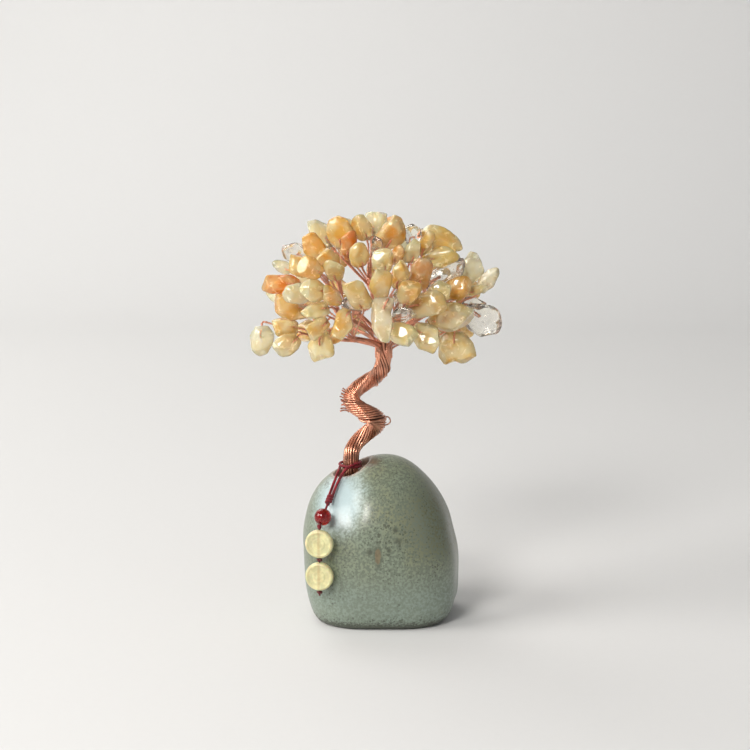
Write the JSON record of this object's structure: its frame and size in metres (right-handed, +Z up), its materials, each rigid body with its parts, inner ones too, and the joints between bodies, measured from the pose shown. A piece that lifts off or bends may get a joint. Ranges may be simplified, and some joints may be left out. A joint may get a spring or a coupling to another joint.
{
  "type": "gemstone tree ornament",
  "caption": "Small wire tree with a corkscrew trunk and drilled gemstone chips for leaves, set in a glazed stoneware pebble base with a red cord charm, to stand on a desk.",
  "frame": {"origin": "middle of the flat foot, on the surface that the base stands on", "axes": "+Z up, +X to the viewer's right, +Y away from the viewer who faces the charm"},
  "size_m": [0.0875, 0.0676, 0.1468],
  "materials": {
    "glaze": "satin speckled",
    "plaster": "matt",
    "copper": "bright copper",
    "citrine": "polished, translucent",
    "cord": "braided",
    "knot_thread": "braided",
    "red_stone": "polished",
    "pale_stone": "waxed"
  },
  "bodies": {
    "ornament": {"ceramic_base": "glaze", "setting_plaster": "plaster", "trunk": "copper", "limb_top": "copper", "twigs_top": "copper", "stones_top": "citrine", "limb_front_high": "copper", "twigs_front_high": "copper", "stones_front_high": "citrine", "limb_left_high": "copper", "twigs_left_high": "copper", "stones_left_high": "citrine", "limb_left_mid": "copper", "twigs_left_mid": "copper", "stones_left_mid": "citrine", "limb_left_low": "copper", "twigs_left_low": "copper", "stones_left_low": "citrine", "limb_front_left_low": "copper", "twigs_front_left_low": "copper", "stones_front_left_low": "citrine", "limb_front_right_low": "copper", "twigs_front_right_low": "copper", "stones_front_right_low": "citrine", "limb_right_high": "copper", "twigs_right_high": "copper", "stones_right_high": "citrine", "limb_right_mid": "copper", "twigs_right_mid": "copper", "stones_right_mid": "citrine", "limb_right_low": "copper", "twigs_right_low": "copper", "stones_right_low": "citrine", "limb_back_right_low": "copper", "twigs_back_right_low": "copper", "stones_back_right_low": "citrine", "limb_back_left_low": "copper", "twigs_back_left_low": "copper", "stones_back_left_low": "citrine", "limb_back_high": "copper", "twigs_back_high": "copper", "stones_back_high": "citrine", "hitch_loop": "cord"},
    "charm_strands": {"cord_strands": "cord", "wrapped_knot": "cord", "upper_thread": "cord"},
    "charm_bead": {"red_bead": "red_stone"},
    "charm_link": {"bead_knot": "cord"},
    "charm_pendant": {"lower_thread": "cord", "disc_knot": "knot_thread", "end_knot": "knot_thread"},
    "charm_disc_upper": {"disc_upper": "pale_stone"},
    "charm_disc_lower": {"disc_lower": "pale_stone"},
    "chip_left": {"hanging_stone_left": "citrine"},
    "chip_front": {"hanging_stone_front": "citrine"},
    "chip_right": {"hanging_stone_right": "citrine"}
  },
  "joints": [
    {"name": "strand_lift", "type": "hinge", "parent": "ornament", "child": "charm_strands", "pos_m": [-0.01253, -0.00344, 0.0545], "axis": [-0.9135, 0.4067, 0], "range_deg": [0, 35]},
    {"name": "bead_spin", "type": "hinge", "parent": "charm_strands", "child": "charm_bead", "pos_m": [-0.02029, -0.02085, 0.04102], "axis": [-0.2944, -0.6612, -0.6901], "continuous": true},
    {"name": "pendant_plumb", "type": "hinge", "parent": "charm_strands", "child": "charm_link", "pos_m": [-0.02148, -0.02353, 0.03823], "axis": [-0.9135, 0.4067, 0], "range_deg": [-35, 0]},
    {"name": "pendant_sway", "type": "hinge", "parent": "charm_link", "child": "charm_pendant", "pos_m": [-0.02148, -0.02353, 0.03823], "axis": [-0.4067, -0.9135, 0], "range_deg": [-12, 12]},
    {"name": "disc_upper_turn", "type": "hinge", "parent": "charm_pendant", "child": "charm_disc_upper", "pos_m": [-0.02148, -0.02353, 0.03207], "axis": [0, 0, 1], "range_deg": [-40, 10]},
    {"name": "disc_lower_turn", "type": "hinge", "parent": "charm_pendant", "child": "charm_disc_lower", "pos_m": [-0.02148, -0.02353, 0.02038], "axis": [0, 0, 1], "range_deg": [-40, 10]},
    {"name": "chip_left_swing", "type": "hinge", "parent": "ornament", "child": "chip_left", "pos_m": [-0.04217, 0, 0.10122], "axis": [-0.1736, -0.9848, 0], "range_deg": [-20, 20]},
    {"name": "chip_front_swing", "type": "hinge", "parent": "ornament", "child": "chip_front", "pos_m": [-0.02091, -0.01386, 0.10072], "axis": [-0.1736, -0.9848, 0], "range_deg": [-20, 20]},
    {"name": "chip_right_swing", "type": "hinge", "parent": "ornament", "child": "chip_right", "pos_m": [0.02605, -0.00231, 0.09932], "axis": [-0.1736, -0.9848, 0], "range_deg": [-20, 20]}
  ],
  "couplings": [
    {"joint": "pendant_plumb", "follows": "strand_lift", "ratio": -1}
  ]
}
